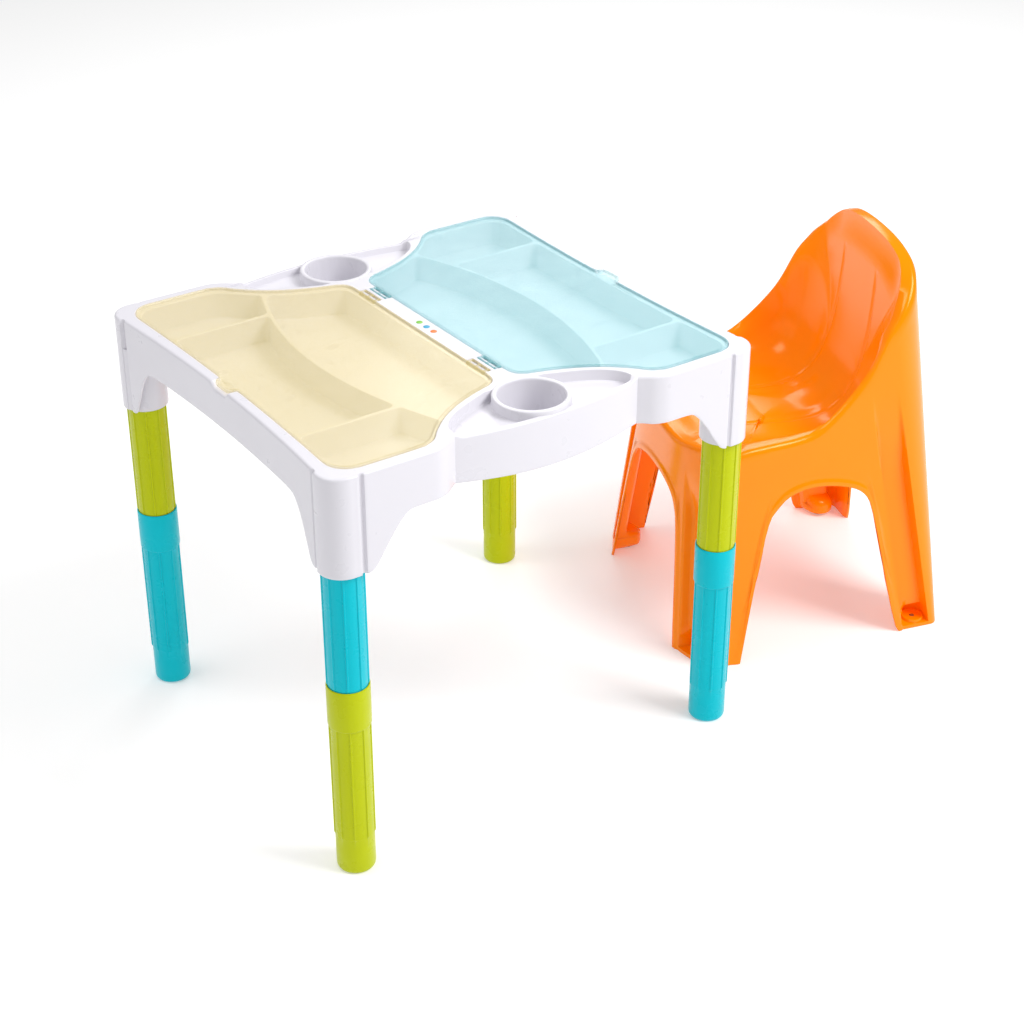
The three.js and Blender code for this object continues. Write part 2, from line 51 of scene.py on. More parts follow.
def makeActive(piece):
    clearSelection()
    piece.select_set(True)
    bpy.context.view_layer.objects.active = piece


def smoothStep(low, high, value):
    t = min(max((value - low) / (high - low), 0.0), 1.0)
    return t * t * (3 - 2 * t)


def readCurve(points, value):  # straight between points that rise in their first number
    if value <= points[0][0]:
        return points[0][1]
    for a, b in zip(points, points[1:]):
        if value <= b[0]:
            return a[1] + (b[1] - a[1]) * (value - a[0]) / (b[0] - a[0])
    return points[-1][1]


def softLine(points, steps):  # a smooth line through the points, with steps pieces to each stretch
    line = []
    for i in range(len(points) - 1):
        p0 = points[max(i - 1, 0)]
        p1, p2 = points[i], points[i + 1]
        p3 = points[min(i + 2, len(points) - 1)]
        for k in range(steps):
            t = k / steps
            line.append(tuple(
                0.5 * (2 * b + (c - a) * t + (2 * a - 5 * b + 4 * c - d) * t * t + (3 * b - a - 3 * c + d) * t ** 3)
                for a, b, c, d in zip(p0, p1, p2, p3)
            ))
    line.append(tuple(points[-1]))
    return line


def tidyLoop(points, least=0.05):
    kept = []
    for p in points:
        if not kept or math.dist(p, kept[-1]) > least:
            kept.append(p)
    while math.dist(kept[0], kept[-1]) <= least:
        kept.pop()
    return kept


def loopArea(points):
    return 0.5 * sum(a[0] * b[1] - b[0] * a[1] for a, b in zip(points, points[1:] + points[:1]))


def anticlockwise(points):
    return points if loopArea(points) > 0 else points[::-1]


def loopNormals(points):  # outward, for an anticlockwise loop, longer at corners
    normals = []
    count = len(points)
    for i in range(count):
        a, b, c = points[i - 1], points[i], points[(i + 1) % count]
        first = Vector((b[1] - a[1], a[0] - b[0])).normalized()
        second = Vector((c[1] - b[1], b[0] - c[0])).normalized()
        middle = first + second
        if middle.length < 1e-6:
            middle = first
        middle.normalize()
        normals.append(middle / max(middle.dot(first), 0.72))
    return normals


def roundCorners(points, radius, steps=5):  # rounds each turn that is sharper than 25 degrees
    rounded = []
    count = len(points)
    for i in range(count):
        a, b, c = Vector(points[i - 1]), Vector(points[i]), Vector(points[(i + 1) % count])
        back, ahead = (a - b), (c - b)
        turn = math.pi - back.angle(ahead)
        if turn < math.radians(25):
            rounded.append(tuple(b))
            continue
        reach = min(radius * math.tan(turn / 2), back.length * 0.49, ahead.length * 0.49)
        start, end = b + back.normalized() * reach, b + ahead.normalized() * reach
        for k in range(steps + 1):
            t = k / steps
            rounded.append(tuple(start * (1 - t) ** 2 + b * 2 * t * (1 - t) + end * t * t))
    return tidyLoop(rounded)


def newShell():
    return {"points": [], "faces": []}


def addRing(shell, ring):
    first = len(shell["points"])
    shell["points"].extend(ring)
    return list(range(first, first + len(ring)))


def bridgeRings(shell, low, high):  # low then high, outward when the rings run anticlockwise and rise
    count = len(low)
    for i in range(count):
        k = (i + 1) % count
        shell["faces"].append((low[i], low[k], high[k], high[i]))


def stackRings(shell, rings):
    made = [addRing(shell, ring) for ring in rings]
    for low, high in zip(made, made[1:]):
        bridgeRings(shell, low, high)
    return made


def fillFlat(shell, outer, holes=(), upward=True):
    loops = [[Vector((shell["points"][i][0], shell["points"][i][1], 0)) for i in loop] for loop in [outer, *holes]]
    numbers = [i for loop in [outer, *holes] for i in loop]
    for a, b, c in tessellate_polygon(loops):
        p, q, r = (shell["points"][numbers[i]] for i in (a, b, c))
        area = (q[0] - p[0]) * (r[1] - p[1]) - (q[1] - p[1]) * (r[0] - p[0])
        if abs(area) < 1e-7:
            continue
        corner = (a, b, c) if (area > 0) == upward else (a, c, b)
        shell["faces"].append(tuple(numbers[i] for i in corner))


def atHeight(points, z):
    return [(p[0], p[1], z) for p in points]


def circleRing(radius, z, count, centre=(0.0, 0.0)):
    angles = [2 * math.pi * k / count for k in range(count)]
    return [(centre[0] + radius * math.cos(a), centre[1] + radius * math.sin(a), z) for a in angles]


def offsetLoop(points, normals, distance):  # outward when distance is positive
    return [(p[0] + n[0] * distance, p[1] + n[1] * distance) for p, n in zip(points, normals)]


def makePiece(name, shell, material, body, place=(0, 0), turn=0.0, smoothAngle=35):
    mesh = bpy.data.meshes.new(name)
    cos, sin = math.cos(turn), math.sin(turn)
    placed = [
        ((place[0] + p[0] * cos - p[1] * sin) * mm, (place[1] + p[0] * sin + p[1] * cos) * mm, p[2] * mm)
        for p in shell["points"]
    ]
    mesh.from_pydata(placed, [], shell["faces"])
    piece = bpy.data.objects.new(name, mesh)
    bpy.context.scene.collection.objects.link(piece)
    piece.data.materials.append(material)
    makeActive(piece)
    bpy.ops.object.mode_set(mode="EDIT")
    bpy.ops.mesh.select_all(action="SELECT")
    bpy.ops.mesh.remove_doubles(threshold=1e-6)
    bpy.ops.mesh.delete_loose()
    bpy.ops.object.mode_set(mode="OBJECT")
    bpy.ops.object.shade_smooth_by_angle(angle=math.radians(smoothAngle))
    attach(piece, body)
    return piece


def applyModifier(piece, kind, **values):
    makeActive(piece)
    modifier = piece.modifiers.new(kind, kind)
    for key, value in values.items():
        setattr(modifier, key, value)
    bpy.ops.object.modifier_apply(modifier=modifier.name)


def setInputs(node, values):
    for name, value in values.items():
        node.inputs[name].default_value = value


mottling = {
    "cloud": {"Scale": 9, "Detail": 3}, "smear": {"Scale": 38, "Detail": 5}, "grain": {"Detail": 2},
    "share": {"From Min": 0.35, "From Max": 0.68, "To Max": 0.35}, "gloss": {"From Min": 0.3, "From Max": 0.7},
    "reliefDepth": 0.0004, "coatRoughness": 0.12, "shadowShare": 0.25,
}


def buildMouldedSurface():  # shared look of moulded plastic: faint mottling, fine texture, soft wear in gloss
    group = bpy.data.node_groups.new("mouldedSurface", "ShaderNodeTree")
    sockets = [
        ("Colour", "INPUT", "NodeSocketColor"), ("Deep Colour", "INPUT", "NodeSocketColor"),
        ("Gloss Low", "INPUT", "NodeSocketFloat"), ("Gloss High", "INPUT", "NodeSocketFloat"),
        ("Grain Scale", "INPUT", "NodeSocketFloat"),
        ("Colour", "OUTPUT", "NodeSocketColor"), ("Roughness", "OUTPUT", "NodeSocketFloat"),
        ("Height", "OUTPUT", "NodeSocketFloat"),
    ]
    for name, way, kind in sockets:
        group.interface.new_socket(name=name, in_out=way, socket_type=kind)
    nodes, links = group.nodes, group.links
    start, end = nodes.new("NodeGroupInput"), nodes.new("NodeGroupOutput")
    place = nodes.new("ShaderNodeTexCoord")
    cloud, smear, grain = (nodes.new("ShaderNodeTexNoise") for _ in range(3))
    for texture, name in ((cloud, "cloud"), (smear, "smear"), (grain, "grain")):
        setInputs(texture, mottling[name])
        links.new(place.outputs["Object"], texture.inputs["Vector"])
    links.new(start.outputs["Grain Scale"], grain.inputs["Scale"])
    share = nodes.new("ShaderNodeMapRange")
    setInputs(share, mottling["share"])
    links.new(cloud.outputs["Fac"], share.inputs["Value"])
    mix = nodes.new("ShaderNodeMix")
    mix.data_type = "RGBA"
    links.new(share.outputs["Result"], mix.inputs["Factor"])
    links.new(start.outputs["Colour"], mix.inputs["A"])
    links.new(start.outputs["Deep Colour"], mix.inputs["B"])
    links.new(mix.outputs["Result"], end.inputs["Colour"])
    gloss = nodes.new("ShaderNodeMapRange")
    setInputs(gloss, mottling["gloss"])
    links.new(smear.outputs["Fac"], gloss.inputs["Value"])
    links.new(start.outputs["Gloss Low"], gloss.inputs["To Min"])
    links.new(start.outputs["Gloss High"], gloss.inputs["To Max"])
    links.new(gloss.outputs["Result"], end.inputs["Roughness"])
    links.new(grain.outputs["Fac"], end.inputs["Height"])
    return group


mouldedSurface = buildMouldedSurface()


def makePlastic(name, colour, deep, glossLow, glossHigh, grainScale=1400, bump=0.06, coat=0.0, alpha=1.0, **values):
    material = bpy.data.materials.new(name)
    material.use_nodes = True
    nodes, links = material.node_tree.nodes, material.node_tree.links
    shader = nodes["Principled BSDF"]
    surface = nodes.new("ShaderNodeGroup")
    surface.node_tree = mouldedSurface
    setInputs(surface, {
        "Colour": (*colour, 1), "Deep Colour": (*deep, 1),
        "Gloss Low": glossLow, "Gloss High": glossHigh, "Grain Scale": grainScale,
    })
    relief = nodes.new("ShaderNodeBump")
    setInputs(relief, {"Strength": bump, "Distance": mottling["reliefDepth"]})
    links.new(surface.outputs["Height"], relief.inputs["Height"])
    links.new(relief.outputs["Normal"], shader.inputs["Normal"])
    links.new(surface.outputs["Colour"], shader.inputs["Base Color"])
    links.new(surface.outputs["Roughness"], shader.inputs["Roughness"])
    if alpha < 1:  # clear plastic, which lets more light down into the pockets than it lets back out
        path = nodes.new("ShaderNodeLightPath")
        veil = nodes.new("ShaderNodeMapRange")
        setInputs(veil, {"To Min": alpha, "To Max": alpha * mottling["shadowShare"]})
        links.new(path.outputs["Is Shadow Ray"], veil.inputs["Value"])
        links.new(veil.outputs["Result"], shader.inputs["Alpha"])
    setInputs(shader, {"Coat Weight": coat, "Coat Roughness": mottling["coatRoughness"]})
    setInputs(shader, {key.replace("_", " "): value for key, value in values.items()})
    return material


finishes = {
    "white": makePlastic("whitePlastic", (0.72, 0.705, 0.755), (0.695, 0.68, 0.73), 0.26, 0.36),
    "yellowLid": makePlastic("yellowLidPlastic", (0.8, 0.69, 0.36), (0.78, 0.67, 0.33), 0.16, 0.24, 2600, 0.02,
                             alpha=0.36),
    "turquoiseLid": makePlastic("turquoiseLidPlastic", (0.27, 0.6, 0.63), (0.25, 0.58, 0.61), 0.16, 0.24, 2600, 0.02,
                                alpha=0.36),
    "green": makePlastic("limePlastic", (0.5, 0.56, 0.0), (0.46, 0.52, 0.0), 0.24, 0.34,
                         Specular_IOR_Level=0.35, Specular_Tint=(0.9, 1, 0.4, 1)),
    "turquoise": makePlastic("turquoisePlastic", (0.0, 0.52, 0.62), (0.0, 0.48, 0.58), 0.24, 0.34,
                             Specular_IOR_Level=0.35, Specular_Tint=(0.3, 0.9, 1, 1)),
    "orange": makePlastic("orangePlastic", (1.0, 0.25, 0.0), (0.98, 0.22, 0.0), 0.16, 0.21, 2200, 0.02, coat=0.06,
                          Specular_IOR_Level=0.5, Specular_Tint=(1, 0.66, 0.36, 1),
                          # the orange emission is a painted glow: it brightens the shaded faces to red-orange,
                          # standing in for light shining through the plastic
                          Emission_Color=(1, 0.13, 0.0, 1), Emission_Strength=0.1),
    "rubber": makePlastic("padRubber", (0.35, 0.12, 0.03), (0.3, 0.1, 0.02), 0.7, 0.85, 900, 0.2),
    "dotGreen": makePlastic("dotGreen", (0.2, 0.55, 0.05), (0.18, 0.5, 0.04), 0.3, 0.4),
    "dotBlue": makePlastic("dotBlue", (0.02, 0.36, 0.6), (0.02, 0.33, 0.56), 0.3, 0.4),
    "dotOrange": makePlastic("dotOrange", (0.95, 0.2, 0.02), (0.9, 0.18, 0.02), 0.3, 0.4),
}
print("materials ready")

# Table top, in millimetres from its middle and from the floor.
tableTop = {
    "rimTop": 470.0, "rimRadius": 3.0, "wall": 2.2, "underside": 434.0, "longFace": 236.0,
    "pillar": (235.0, 211.0), "pillarRadius": 25.0, "pillarFoot": 361.0, "bore": 22.85,
    "bulgeTop": 466.0, "bulgeSag": 13.0, "bulgeHalf": 110.5, "bulgeMiddle": 233.5,
    "notchX": 232.0, "notchFloor": 464.3, "notchRise": 6.0,
    "grooves": (224.0, 202.0), "grooveHalf": (3.4, 1.2), "grooveDepth": 3.4,
    "ledge": 467.0, "pocketTop": 466.9, "pocketFloor": 438.0, "slotFloor": 462.2, "shelfFloor": 458.0,
    "cupY": 191.0, "cupHole": 36.0, "hingeY": 106.0, "hingeX": 6.5, "hingeZ": 467.4,
    "hingeBar": (1.7, 17.6),
}
cupProfile = [  # distance from the cup's axis, and height
    (32.5, 422), (35, 422.4), (36.6, 424), (37.2, 427), (37.6, 450), (40.4, 452), (40.5, 469.2), (40.1, 470.1),
    (39.3, 470.6), (38.4, 470.7), (36.4, 470.7), (35.4, 470.4), (34.8, 469.7), (34.5, 468), (33.9, 440),
    (33.5, 430), (32.4, 427), (30.2, 425.5), (27.5, 425.1), (26.5, 425.1),
]
socketProfile = [
    (tableTop["bore"], 434.5), (tableTop["bore"], 362.3), (23.1, 361.6), (23.6, 361.4), (24.2, 361.8),
    (24.3, 363), (24.3, 434.5),
]


def bulgeEdge(x, inset=0.0):  # the bowed wall beside each cup: y for a given x
    sag = tableTop["bulgeSag"]
    radius = (tableTop["bulgeHalf"] ** 2 + sag ** 2) / (2 * sag)
    return tableTop["bulgeMiddle"] - radius + math.sqrt((radius - inset) ** 2 - x * x)


def topQuadrant():
    alongSide = [k * 6.0 for k in range(25)] + [146 + 2 * k for k in range(27)]
    side = [(248.5 + 9 * (y / 200) ** 2, y) for y in alongSide]
    side += [(257.7, 200), (257.9, 201.5), (258.2, 203), (258.6, 204.5)]
    cx, cy = tableTop["pillar"]
    radius = tableTop["pillarRadius"]
    arc = [
        (cx + radius * math.cos(math.radians(a)), cy + radius * math.sin(math.radians(a)))
        for a in [-12 + 6 * k for k in range(19)]
    ]
    alongFace = [230 - 1.5 * k for k in range(9)] + [216 - 2 * k for k in range(24)] + [164, 158]
    face = [(x, tableTop["longFace"]) for x in alongFace]
    turn = softLine([(152, 236), (138, 235.4), (126, 231.3), (116, 224.4), (110.5, 220.5)], 5)
    bulge = [(108.5 - 4.34 * k, bulgeEdge(108.5 - 4.34 * k)) for k in range(26)]
    return tidyLoop(side + arc + face + turn + bulge)


def mirrorFourWays(quadrant):
    back = quadrant[::-1]
    return tidyLoop(
        quadrant + [(-x, y) for x, y in back] + [(-x, -y) for x, y in quadrant] + [(x, -y) for x, y in back]
    )


sideApron = softLine([(0, 424), (100, 423.6), (146, 423), (160, 418), (171, 404), (181, 382), (188, 366),
                      (193, 361)], 8)
cupApron = softLine([(0, 410.5), (40, 411.5), (80, 414.3), (112, 416.8), (126, 416), (163, 416), (174, 414),
                     (183, 406), (194, 391.5), (204.7, 375), (212.3, 364.8), (219, 361)], 6)


def apronFoot(x, y):  # lowest edge of the apron at a point of the outline
    x, y = abs(x), abs(y)
    if x > 245 and y < 193:
        return readCurve(sideApron, y)
    if y > 215 and x < 219:
        return readCurve(cupApron, x)
    return tableTop["pillarFoot"]


def grooveShare(x, y):  # the upright grooves beside each corner pillar
    x, y = abs(x), abs(y)
    grooveX, grooveY = tableTop["grooves"]
    edge, bottom = tableTop["grooveHalf"]
    if x > 245 and 196 < y < 207:
        return smoothStep(edge, bottom, abs(y - grooveY))
    if y > 230 and 214 < x < 232:
        return smoothStep(edge, bottom, abs(x - grooveX))
    return 0


def rimHeight(x, y):
    x, y = abs(x), abs(y)
    height = tableTop["rimTop"]
    if x < 110 and y > bulgeEdge(min(x, 108)) - 8.5:
        height -= (tableTop["rimTop"] - tableTop["bulgeTop"]) * (1 - smoothStep(102, 109, x))
    if x > tableTop["notchX"]:
        height = min(height, tableTop["notchFloor"] + tableTop["notchRise"] * smoothStep(16.9, 18.1, y))
    return height


def lidEdge():  # one half of a lid's outline, from the hinge side round to the finger tab
    concave = softLine([(24, 149.5), (48, 157), (75, 168.5), (99, 183.5), (118, 200.5), (131, 215), (145, 221.8)], 5)
    corner = [
        (217 + 24 * math.cos(math.radians(a)), 197.8 + 24 * math.sin(math.radians(a)))
        for a in [90 - 9 * k for k in range(11)]
    ]
    side = [(236 + 5 * (y / 190) ** 2, y) for y in [190 - 8.5 * k for k in range(20)]]
    half = [(11, 0.5)] + [(11, 9.0 * k) for k in range(1, 15)]
    half += [(11.2, 132), (11.9, 137), (13.6, 141.6), (17.5, 145.8)]
    half += concave + [(155, 222.2), (175, 222.2), (196, 222)] + corner + side
    return half


def recessLoop(side):  # the hollow that a lid drops into, with room for its hinges
    half = [(10.4, 0.5), (10.4, 30), (10.4, 60), (10.4, 88.4), (2.0, 88.6), (2.0, 100), (2.0, 112), (2.0, 123.4),
            (10.4, 123.6)]
    outline = lidEdge()
    half += [(x - 0.5, y) for x, y in outline if x < 12 and y > 128]
    half += [(x, y + 0.6) for x, y in outline if 12 <= x <= 217 and y > 130]
    half += [(x + 0.6, y) for x, y in outline if x > 217 and y > 22]
    half += [(236.7, 20.5), (236.7, 18.6), (236.7, 17.4), (236.7, 9), (236.7, 0.5)]
    whole = [(side * x, y) for x, y in half] + [(side * x, -y) for x, y in half[::-1]]
    return anticlockwise(tidyLoop(whole))


def arcWall(y):
    return 138 - y * y / 860


def pocketLoops(side):
    inner = [(16, -130), (16, 0), (16, 130), (18, 139.5), (26, 145.2), (48, 151.6), (74, 163), (97, 177)]
    inner += [(arcWall(y) - 3, y) for y in (160, 135, 110, 85, 60, 35, 12, -12, -35, -60, -85, -110, -135, -160)]
    inner += [(97, -177), (74, -163), (48, -151.6), (26, -145.2), (18, -139.5)]
    outer = [(arcWall(y) + 2, y) for y in (-129.5, -110, -85, -60, -35, -12, 12, 35, 60, 85, 110, 129.5)]
    outer += [(180, 129.5), (231.6, 129.5), (230.6, 60), (230.3, 0), (230.6, -60), (231.6, -129.5), (180, -129.5)]
    corner = [(arcWall(y) + 2, y) for y in (134.5, 150, 165, 181)]
    corner += [(118, 194.5), (129, 206), (140, 213.5), (152, 216.6), (185, 216.6), (217, 216.4), (227, 212.4),
               (233.5, 205), (235, 196), (234, 165), (233, 134.5), (180, 134.5)]
    loops = [(inner, 8), (outer, 9), (corner, 8), ([(x, -y) for x, y in corner], 8)]
    return [anticlockwise(roundCorners([(side * x, y) for x, y in anticlockwise(loop)], r)) for loop, r in loops]


def shelfLoop(side, end):  # the low tray on one side of a cup
    cy, r = tableTop["cupY"], 39.2
    line = [(24, 159.6), (36, 160.4)] + softLine([(55, 168), (78, 178), (96, 190), (106, 203), (108, 212.5)], 3)
    line += [(x, bulgeEdge(x, 6.0)) for x in [104 - 5.5 * k for k in range(17)]]
    roundCup = [math.radians(67 - 8 * k) for k in range(16)]
    line += [(r * math.cos(a), cy + r * math.sin(a)) for a in roundCup]
    loop = roundCorners(anticlockwise(tidyLoop(line, 0.5)), 3.5, 4)
    return anticlockwise([(side * x, end * y) for x, y in loop])


def sinkPocket(shell, loop, topHeight, floor, lip, draft, foot):
    normals = loopNormals(loop)
    top = [topHeight(x, y) for x, y in loop]
    levels = [(lip + 0.4, 0), (lip, 0), (lip * 0.35, lip * 0.35), (0, lip)]
    rings = []
    for out, down in levels:
        ring = offsetLoop(loop, normals, out)
        rings.append([(x, y, t - down) for (x, y), t in zip(ring, top)])
    for out, z in [(-draft, floor + foot), (-draft - foot * 0.3, floor + foot * 0.3), (-draft - foot, floor)]:
        rings.append(atHeight(offsetLoop(loop, normals, out), z))
    rings.append(atHeight(offsetLoop(loop, normals, -draft - foot - 0.5), floor))
    made = stackRings(shell, rings)
    fillFlat(shell, made[-1], (), True)
    return made[0]


def buildTableTop():
    s = tableTop
    outline = mirrorFourWays(topQuadrant())
    normals = loopNormals(outline)
    foot = [apronFoot(x, y) for x, y in outline]
    groove = [grooveShare(x, y) * s["grooveDepth"] for x, y in outline]
    height = [rimHeight(x, y) for x, y in outline]
    shell = newShell()

    def ringAt(inset, depth, z):
        return [
            (x - n[0] * (inset + g * depth), y - n[1] * (inset + g * depth), z[i])
            for i, ((x, y), n, g) in enumerate(zip(outline, normals, groove))
        ]

    count = range(len(outline))
    rings = []
    for z in (s["underside"], 415, 395, 375):  # inside of the apron, downwards
        rings.append(ringAt(s["wall"], 1, [max(z, foot[i] + 1.1 + (z - 375) * 0.02) for i in count]))
    for inset, up in ((s["wall"], 1.0), (1.9, 0.3), (1.1, 0), (0.3, 0.3), (0, 1.1)):  # rounded lower edge
        rings.append(ringAt(inset, 1, [f + up for f in foot]))
    for share in (0.04, 0.12, 0.3, 0.55, 0.8, 1):  # outer face
        rings.append(ringAt(0, 1, [f + 1.1 + (h - 3.2 - f - 1.1) * share for f, h in zip(foot, height)]))
    for a in (20, 42, 66, 90):  # rounded top edge
        inset = s["rimRadius"] * (1 - math.cos(math.radians(a)))
        drop = s["rimRadius"] * (1 - math.sin(math.radians(a)))
        rings.append(ringAt(inset, 1 - a / 90 * 0.9, [h - drop for h in height]))
    rings.append(ringAt(3.5, 0, height))
    made = stackRings(shell, rings)
    holes = []

    def dipAtNotch(x, y, z):
        return min(z, rimHeight(x, y)) if abs(x) > s["notchX"] else z

    recessLevels = [(-1.1, s["ledge"]), (-0.5, s["ledge"]), (-0.1, 467.25), (0, 467.7), (0, 469.2),
                    (0.25, 469.75), (0.8, s["rimTop"]), (1.2, s["rimTop"])]
    for side in (1, -1):
        loop = recessLoop(side)
        out = loopNormals(loop)
        rings = []
        for grow, z in recessLevels:
            rings.append([(x, y, dipAtNotch(x, y, z)) for x, y in offsetLoop(loop, out, grow)])
        recess = stackRings(shell, rings[::-1])
        holes.append(recess[0])
        inside = [
            sinkPocket(shell, pocket, lambda x, y: s["pocketTop"], s["pocketFloor"], 1.1, 1.2, 3.2)
            for pocket in pocketLoops(side)
        ]
        for end in (1, -1):
            slot = [(2.9, 89.4), (12.6, 89.4), (12.6, 122.6), (2.9, 122.6)]
            slot = anticlockwise(roundCorners([(side * x, end * y) for x, y in anticlockwise(slot)], 1.2, 3))
            inside.append(sinkPocket(shell, slot, lambda x, y: s["ledge"], s["slotFloor"], 0.25, 0.1, 0.8))
        fillFlat(shell, recess[-1], inside, True)
    cups = []
    for end in (1, -1):
        for side in (1, -1):
            holes.append(sinkPocket(shell, shelfLoop(side, end), rimHeight, s["shelfFloor"], 0.8, 0.5, 2.4))
        circle = circleRing(s["cupHole"], s["underside"], 72, (0.0, end * s["cupY"]))
        upper = addRing(shell, [(x, y, rimHeight(x, y)) for x, y, z in circle])
        lower = addRing(shell, circle)
        bridgeRings(shell, upper, lower)
        holes.append(upper)
        cups.append(lower)
    fillFlat(shell, made[-1], holes, True)
    fillFlat(shell, made[0], cups, False)
    for end in (1, -1):  # cup wells
        well = stackRings(shell, [circleRing(r, z, 80, (0.0, end * s["cupY"])) for r, z in cupProfile])
        fillFlat(shell, well[0], (), False)
        fillFlat(shell, well[-1], (), True)
    for sx in (1, -1):  # sockets for the legs
        for sy in (1, -1):
            centre = (sx * s["pillar"][0], sy * s["pillar"][1])
            socket = stackRings(shell, [circleRing(r, z, 48, centre) for r, z in socketProfile])
            bridgeRings(shell, socket[-1], socket[0])
    r, reach = s["hingeBar"]
    roundBar = [math.pi * k / 8 for k in range(16)]
    for sx in (1, -1):  # hinge bars
        for sy in (1, -1):
            x, y = sx * s["hingeX"], sy * s["hingeY"]
            bar = stackRings(shell, [
                [(x + r * math.sin(a), y + end, s["hingeZ"] + r * math.cos(a)) for a in roundBar]
                for end in (-reach, reach)
            ])
            shell["faces"].append(tuple(bar[0][::-1]))
            shell["faces"].append(tuple(bar[1]))
    piece = makePiece("table_top_moulding", shell, finishes["white"], "table", tableCentre)
    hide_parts("table_top")
    return piece


tablePiece = buildTableTop()
print("table top ready", len(tablePiece.data.polygons))


# Lids: heights are from the floor, and the tab reaches out from the middle of the table.
lidShape = {
    "under": 467.35, "sheet": 470.0, "bead": 471.8, "tabReach": 246.0,
    "loopHalf": 15.6, "loopTall": 5.4, "loopMiddle": 467.5, "loopRound": 0.5,
}


def buildLid(side, name, node, finish, body):
    s = lidShape
    half = lidEdge() + [(236.6, 21.8), (237.6, 18.6), (240.4, 16.2), (243.6, 14.4), (245.6, 11)]
    half += [(s["tabReach"], 7), (s["tabReach"], 0.5)]
    whole = [(side * x, y) for x, y in half] + [(side * x, -y) for x, y in half[::-1]]
    loop = anticlockwise(tidyLoop(whole))
    out = loopNormals(loop)
    levels = [(-1.4, s["under"]), (-0.5, s["under"]), (-0.1, s["under"] + 0.15), (0, s["under"] + 0.5), (0, 471.0),
              (-0.25, 471.5), (-0.8, 471.75), (-1.4, s["bead"]), (-2.1, 471.7), (-2.6, 471.3), (-2.95, 470.6),
              (-3.4, 470.15), (-4.1, s["sheet"]), (-4.8, s["sheet"])]
    shell = newShell()
    made = stackRings(shell, [atHeight(offsetLoop(loop, out, grow), z) for grow, z in levels])
    fillFlat(shell, made[0], (), False)
    fillFlat(shell, made[-1], (), True)
    piece = makePiece(name, shell, finishes[finish], body, tableCentre)
    arms = []
    cross, length = s["loopHalf"] - 1.4, 2 * s["loopHalf"]
    loopBars = [(6.9, 0, 9.0, 2.6), (6.9, cross, 9.0, 2.6), (6.9, -cross, 9.0, 2.6),
                (3.2, 0, 2.0, length), (10.9, 0, 2.0, length)]
    for end in (1, -1):  # the plastic loop at each hinge bar
        for x, y, lengthX, lengthY in loopBars:
            clearSelection()
            bpy.ops.mesh.primitive_cube_add(size=1, location=(0, 0, 0))
            arm = bpy.context.object
            arm.name = "hingeLoop"
            bpy.ops.object.mode_set(mode="EDIT")
            bpy.ops.mesh.select_all(action="SELECT")
            size = (lengthX * mm, lengthY * mm, s["loopTall"] * mm)
            bpy.ops.transform.resize(value=size, center_override=(0, 0, 0))
            bpy.ops.mesh.bevel(offset=s["loopRound"] * mm, segments=2)
            acrossTable = tableCentre[1] + end * tableTop["hingeY"] + y
            spot = ((tableCentre[0] + side * x) * mm, acrossTable * mm, s["loopMiddle"] * mm)
            bpy.ops.transform.translate(value=spot)
            bpy.ops.object.mode_set(mode="OBJECT")
            arm.data.materials.append(finishes[finish])
            arms.append(arm)
    clearSelection()
    for part in (*arms, piece):
        part.select_set(True)
    bpy.context.view_layer.objects.active = piece
    bpy.ops.object.join()
    bpy.ops.object.shade_smooth_by_angle(angle=math.radians(35))
    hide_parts(node)
    return piece


buildLid(-1, "lid_yellow_moulding", "lid_yellow", "yellowLid", "yellow_lid")
buildLid(1, "lid_turquoise_moulding", "lid_turquoise", "turquoiseLid", "turquoise_lid")
print("lids ready")

# Legs: the plug of an upper section sits in the collar of the lower one.
legShape = {"ribs": 9, "ribHeight": 1.1, "stack": 185.3, "ribbed": 20.8, "ribbedFrom": 46.0, "ribbedTo": 179.6}
legPlug = [  # radius, height and share of the ribs
    (13.5, 0, 0), (14.5, 0, 0), (17.6, 0.25, 0), (19.3, 1.1, 0), (20.2, 2.7, 0), (20.6, 5.2, 0), (20.6, 30, 0),
    (20.65, 43.2, 0), (20.7, 43.9, 0.35), (20.8, 44.7, 0.8),
]
legCollar = [
    (20.9, 180.4, 1), (22.0, 180.9, 0), (22.3, 181.3, 0), (22.4, 182.2, 0), (22.4, 205, 0), (22.4, 226.6, 0),
    (22.25, 227.5, 0), (21.8, 228, 0), (21.3, 228, 0), (21.0, 227.6, 0), (20.95, 226.9, 0), (20.95, 186.4, 0),
    (20.4, 185.1, 0), (19.5, 185, 0),
]


def ribShare(degrees):
    near = abs((degrees + 20) % 40 - 20)  # degrees from the middle of the nearest rib
    return 1.0 if near < 1.5 else (0.78 if near < 2.6 else 0.0)


def buildLegSection():
    s = legShape
    columns = []
    for k in range(s["ribs"]):
        columns += [k * 40 + d for d in (-3.5, -2.4, -1.2, 1.2, 2.4, 3.5, 10, 16.6, 23.3, 30)]
    low, tall = s["ribbedFrom"], s["ribbedTo"] - s["ribbedFrom"]
    rows = legPlug + [(s["ribbed"], low + tall * k / 4, 1) for k in range(5)] + legCollar
    shell = newShell()
    rings = []
    for radius, z, ribs in rows:
        ring = []
        for degrees in columns:
            r = radius + s["ribHeight"] * ribs * ribShare(degrees)
            a = math.radians(degrees)
            ring.append((r * math.cos(a), r * math.sin(a), z))
        rings.append(ring)
    made = stackRings(shell, rings)
    fillFlat(shell, made[0], (), False)
    fillFlat(shell, made[-1], (), True)
    return shell


